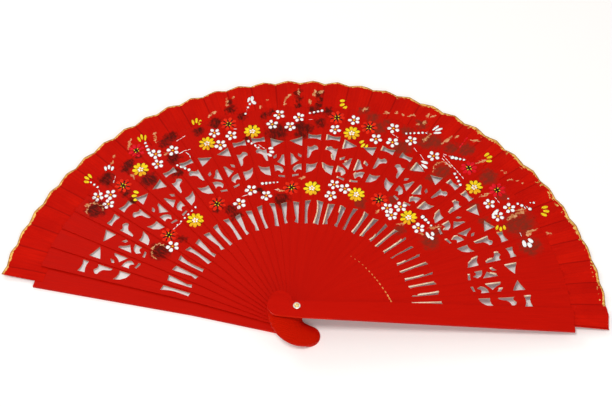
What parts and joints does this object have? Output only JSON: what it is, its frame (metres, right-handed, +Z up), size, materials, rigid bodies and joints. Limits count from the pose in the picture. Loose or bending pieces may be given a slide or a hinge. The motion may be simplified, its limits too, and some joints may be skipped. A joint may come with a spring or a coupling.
{
  "type": "folding fan",
  "caption": "Open folding fan with red lacquered fretwork ribs, plain guards and a narrow pleated cloth leaf, lying flat on its rear guard.",
  "frame": {"origin": "centre of the rivet's flush rear head, on the table", "axes": "+Z up from the table, +Y from the rivet to the middle of the open leaf, +X towards the front guard"},
  "size_m": [0.498, 0.2729, 0.036],
  "materials": {
    "lacquer": "satin lacquer",
    "cloth": "matt cloth with a gilt edge",
    "brass": "polished",
    "nickel": "polished"
  },
  "bodies": {
    "base": {"rear_guard": "lacquer", "leaf": "cloth", "rivet_pin": "brass", "front_washer": "nickel"},
    "rib_01": {"rib_01": "lacquer"},
    "rib_02": {"rib_02": "lacquer"},
    "rib_03": {"rib_03": "lacquer"},
    "rib_04": {"rib_04": "lacquer"},
    "rib_05": {"rib_05": "lacquer"},
    "rib_06": {"rib_06": "lacquer"},
    "rib_07": {"rib_07": "lacquer"},
    "rib_08": {"rib_08": "lacquer"},
    "rib_09": {"rib_09": "lacquer"},
    "rib_10": {"rib_10": "lacquer"},
    "rib_11": {"rib_11": "lacquer"},
    "rib_12": {"rib_12": "lacquer"},
    "rib_13": {"rib_13": "lacquer"},
    "rib_14": {"rib_14": "lacquer"},
    "rib_15": {"rib_15": "lacquer"},
    "rib_16": {"rib_16": "lacquer"},
    "rib_17": {"rib_17": "lacquer"},
    "rib_18": {"rib_18": "lacquer"},
    "rib_19": {"rib_19": "lacquer"},
    "rib_20": {"rib_20": "lacquer"},
    "rib_21": {"rib_21": "lacquer"},
    "rib_22": {"rib_22": "lacquer"},
    "rib_23": {"rib_23": "lacquer"},
    "rib_24": {"rib_24": "lacquer"},
    "rib_25": {"rib_25": "lacquer"},
    "rib_26": {"rib_26": "lacquer"},
    "rib_27": {"rib_27": "lacquer"},
    "rib_28": {"rib_28": "lacquer"},
    "rib_29": {"rib_29": "lacquer"},
    "rib_30": {"rib_30": "lacquer"},
    "rib_31": {"rib_31": "lacquer"},
    "rib_32": {"rib_32": "lacquer"},
    "front_guard": {"front_guard": "lacquer"}
  },
  "joints": [
    {"name": "front_guard_fold", "type": "hinge", "parent": "base", "child": "front_guard", "pos_m": [0, 0, 0], "axis": [0.0546, -0.0061, 0.9985], "range_deg": [0, 167.3], "deforming": ["leaf"]},
    {"name": "rib_01_fold", "type": "hinge", "parent": "base", "child": "rib_01", "pos_m": [0, 0, 0], "axis": [0.0546, -0.0061, 0.9985], "range_deg": [0, 5.2]},
    {"name": "rib_02_fold", "type": "hinge", "parent": "base", "child": "rib_02", "pos_m": [0, 0, 0], "axis": [0.0546, -0.0061, 0.9985], "range_deg": [0, 10.3]},
    {"name": "rib_03_fold", "type": "hinge", "parent": "base", "child": "rib_03", "pos_m": [0, 0, 0], "axis": [0.0546, -0.0061, 0.9985], "range_deg": [0, 15.4]},
    {"name": "rib_04_fold", "type": "hinge", "parent": "base", "child": "rib_04", "pos_m": [0, 0, 0], "axis": [0.0546, -0.0061, 0.9985], "range_deg": [0, 20.4]},
    {"name": "rib_05_fold", "type": "hinge", "parent": "base", "child": "rib_05", "pos_m": [0, 0, 0], "axis": [0.0546, -0.0061, 0.9985], "range_deg": [0, 25.5]},
    {"name": "rib_06_fold", "type": "hinge", "parent": "base", "child": "rib_06", "pos_m": [0, 0, 0], "axis": [0.0546, -0.0061, 0.9985], "range_deg": [0, 30.6]},
    {"name": "rib_07_fold", "type": "hinge", "parent": "base", "child": "rib_07", "pos_m": [0, 0, 0], "axis": [0.0546, -0.0061, 0.9985], "range_deg": [0, 35.6]},
    {"name": "rib_08_fold", "type": "hinge", "parent": "base", "child": "rib_08", "pos_m": [0, 0, 0], "axis": [0.0546, -0.0061, 0.9985], "range_deg": [0, 40.7]},
    {"name": "rib_09_fold", "type": "hinge", "parent": "base", "child": "rib_09", "pos_m": [0, 0, 0], "axis": [0.0546, -0.0061, 0.9985], "range_deg": [0, 45.8]},
    {"name": "rib_10_fold", "type": "hinge", "parent": "base", "child": "rib_10", "pos_m": [0, 0, 0], "axis": [0.0546, -0.0061, 0.9985], "range_deg": [0, 50.8]},
    {"name": "rib_11_fold", "type": "hinge", "parent": "base", "child": "rib_11", "pos_m": [0, 0, 0], "axis": [0.0546, -0.0061, 0.9985], "range_deg": [0, 55.9]},
    {"name": "rib_12_fold", "type": "hinge", "parent": "base", "child": "rib_12", "pos_m": [0, 0, 0], "axis": [0.0546, -0.0061, 0.9985], "range_deg": [0, 61]},
    {"name": "rib_13_fold", "type": "hinge", "parent": "base", "child": "rib_13", "pos_m": [0, 0, 0], "axis": [0.0546, -0.0061, 0.9985], "range_deg": [0, 66.1]},
    {"name": "rib_14_fold", "type": "hinge", "parent": "base", "child": "rib_14", "pos_m": [0, 0, 0], "axis": [0.0546, -0.0061, 0.9985], "range_deg": [0, 71.1]},
    {"name": "rib_15_fold", "type": "hinge", "parent": "base", "child": "rib_15", "pos_m": [0, 0, 0], "axis": [0.0546, -0.0061, 0.9985], "range_deg": [0, 76.2]},
    {"name": "rib_16_fold", "type": "hinge", "parent": "base", "child": "rib_16", "pos_m": [0, 0, 0], "axis": [0.0546, -0.0061, 0.9985], "range_deg": [0, 81.3]},
    {"name": "rib_17_fold", "type": "hinge", "parent": "base", "child": "rib_17", "pos_m": [0, 0, 0], "axis": [0.0546, -0.0061, 0.9985], "range_deg": [0, 86.3]},
    {"name": "rib_18_fold", "type": "hinge", "parent": "base", "child": "rib_18", "pos_m": [0, 0, 0], "axis": [0.0546, -0.0061, 0.9985], "range_deg": [0, 91.4]},
    {"name": "rib_19_fold", "type": "hinge", "parent": "base", "child": "rib_19", "pos_m": [0, 0, 0], "axis": [0.0546, -0.0061, 0.9985], "range_deg": [0, 96.5]},
    {"name": "rib_20_fold", "type": "hinge", "parent": "base", "child": "rib_20", "pos_m": [0, 0, 0], "axis": [0.0546, -0.0061, 0.9985], "range_deg": [0, 101.5]},
    {"name": "rib_21_fold", "type": "hinge", "parent": "base", "child": "rib_21", "pos_m": [0, 0, 0], "axis": [0.0546, -0.0061, 0.9985], "range_deg": [0, 106.6]},
    {"name": "rib_22_fold", "type": "hinge", "parent": "base", "child": "rib_22", "pos_m": [0, 0, 0], "axis": [0.0546, -0.0061, 0.9985], "range_deg": [0, 111.7]},
    {"name": "rib_23_fold", "type": "hinge", "parent": "base", "child": "rib_23", "pos_m": [0, 0, 0], "axis": [0.0546, -0.0061, 0.9985], "range_deg": [0, 116.8]},
    {"name": "rib_24_fold", "type": "hinge", "parent": "base", "child": "rib_24", "pos_m": [0, 0, 0], "axis": [0.0546, -0.0061, 0.9985], "range_deg": [0, 121.8]},
    {"name": "rib_25_fold", "type": "hinge", "parent": "base", "child": "rib_25", "pos_m": [0, 0, 0], "axis": [0.0546, -0.0061, 0.9985], "range_deg": [0, 126.9]},
    {"name": "rib_26_fold", "type": "hinge", "parent": "base", "child": "rib_26", "pos_m": [0, 0, 0], "axis": [0.0546, -0.0061, 0.9985], "range_deg": [0, 132]},
    {"name": "rib_27_fold", "type": "hinge", "parent": "base", "child": "rib_27", "pos_m": [0, 0, 0], "axis": [0.0546, -0.0061, 0.9985], "range_deg": [0, 137]},
    {"name": "rib_28_fold", "type": "hinge", "parent": "base", "child": "rib_28", "pos_m": [0, 0, 0], "axis": [0.0546, -0.0061, 0.9985], "range_deg": [0, 142.1]},
    {"name": "rib_29_fold", "type": "hinge", "parent": "base", "child": "rib_29", "pos_m": [0, 0, 0], "axis": [0.0546, -0.0061, 0.9985], "range_deg": [0, 147.2]},
    {"name": "rib_30_fold", "type": "hinge", "parent": "base", "child": "rib_30", "pos_m": [0, 0, 0], "axis": [0.0546, -0.0061, 0.9985], "range_deg": [0, 152.2]},
    {"name": "rib_31_fold", "type": "hinge", "parent": "base", "child": "rib_31", "pos_m": [0, 0, 0], "axis": [0.0546, -0.0061, 0.9985], "range_deg": [0, 157.3]},
    {"name": "rib_32_fold", "type": "hinge", "parent": "base", "child": "rib_32", "pos_m": [0, 0, 0], "axis": [0.0546, -0.0061, 0.9985], "range_deg": [0, 162.4]}
  ],
  "couplings": [
    {"joint": "rib_01_fold", "follows": "front_guard_fold", "ratio": 0.030303},
    {"joint": "rib_02_fold", "follows": "front_guard_fold", "ratio": 0.060606},
    {"joint": "rib_03_fold", "follows": "front_guard_fold", "ratio": 0.090909},
    {"joint": "rib_04_fold", "follows": "front_guard_fold", "ratio": 0.12121},
    {"joint": "rib_05_fold", "follows": "front_guard_fold", "ratio": 0.15152},
    {"joint": "rib_06_fold", "follows": "front_guard_fold", "ratio": 0.18182},
    {"joint": "rib_07_fold", "follows": "front_guard_fold", "ratio": 0.21212},
    {"joint": "rib_08_fold", "follows": "front_guard_fold", "ratio": 0.24242},
    {"joint": "rib_09_fold", "follows": "front_guard_fold", "ratio": 0.27273},
    {"joint": "rib_10_fold", "follows": "front_guard_fold", "ratio": 0.30303},
    {"joint": "rib_11_fold", "follows": "front_guard_fold", "ratio": 0.33333},
    {"joint": "rib_12_fold", "follows": "front_guard_fold", "ratio": 0.36364},
    {"joint": "rib_13_fold", "follows": "front_guard_fold", "ratio": 0.39394},
    {"joint": "rib_14_fold", "follows": "front_guard_fold", "ratio": 0.42424},
    {"joint": "rib_15_fold", "follows": "front_guard_fold", "ratio": 0.45455},
    {"joint": "rib_16_fold", "follows": "front_guard_fold", "ratio": 0.48485},
    {"joint": "rib_17_fold", "follows": "front_guard_fold", "ratio": 0.51515},
    {"joint": "rib_18_fold", "follows": "front_guard_fold", "ratio": 0.54545},
    {"joint": "rib_19_fold", "follows": "front_guard_fold", "ratio": 0.57576},
    {"joint": "rib_20_fold", "follows": "front_guard_fold", "ratio": 0.60606},
    {"joint": "rib_21_fold", "follows": "front_guard_fold", "ratio": 0.63636},
    {"joint": "rib_22_fold", "follows": "front_guard_fold", "ratio": 0.66667},
    {"joint": "rib_23_fold", "follows": "front_guard_fold", "ratio": 0.69697},
    {"joint": "rib_24_fold", "follows": "front_guard_fold", "ratio": 0.72727},
    {"joint": "rib_25_fold", "follows": "front_guard_fold", "ratio": 0.75758},
    {"joint": "rib_26_fold", "follows": "front_guard_fold", "ratio": 0.78788},
    {"joint": "rib_27_fold", "follows": "front_guard_fold", "ratio": 0.81818},
    {"joint": "rib_28_fold", "follows": "front_guard_fold", "ratio": 0.84848},
    {"joint": "rib_29_fold", "follows": "front_guard_fold", "ratio": 0.87879},
    {"joint": "rib_30_fold", "follows": "front_guard_fold", "ratio": 0.90909},
    {"joint": "rib_31_fold", "follows": "front_guard_fold", "ratio": 0.93939},
    {"joint": "rib_32_fold", "follows": "front_guard_fold", "ratio": 0.9697}
  ]
}
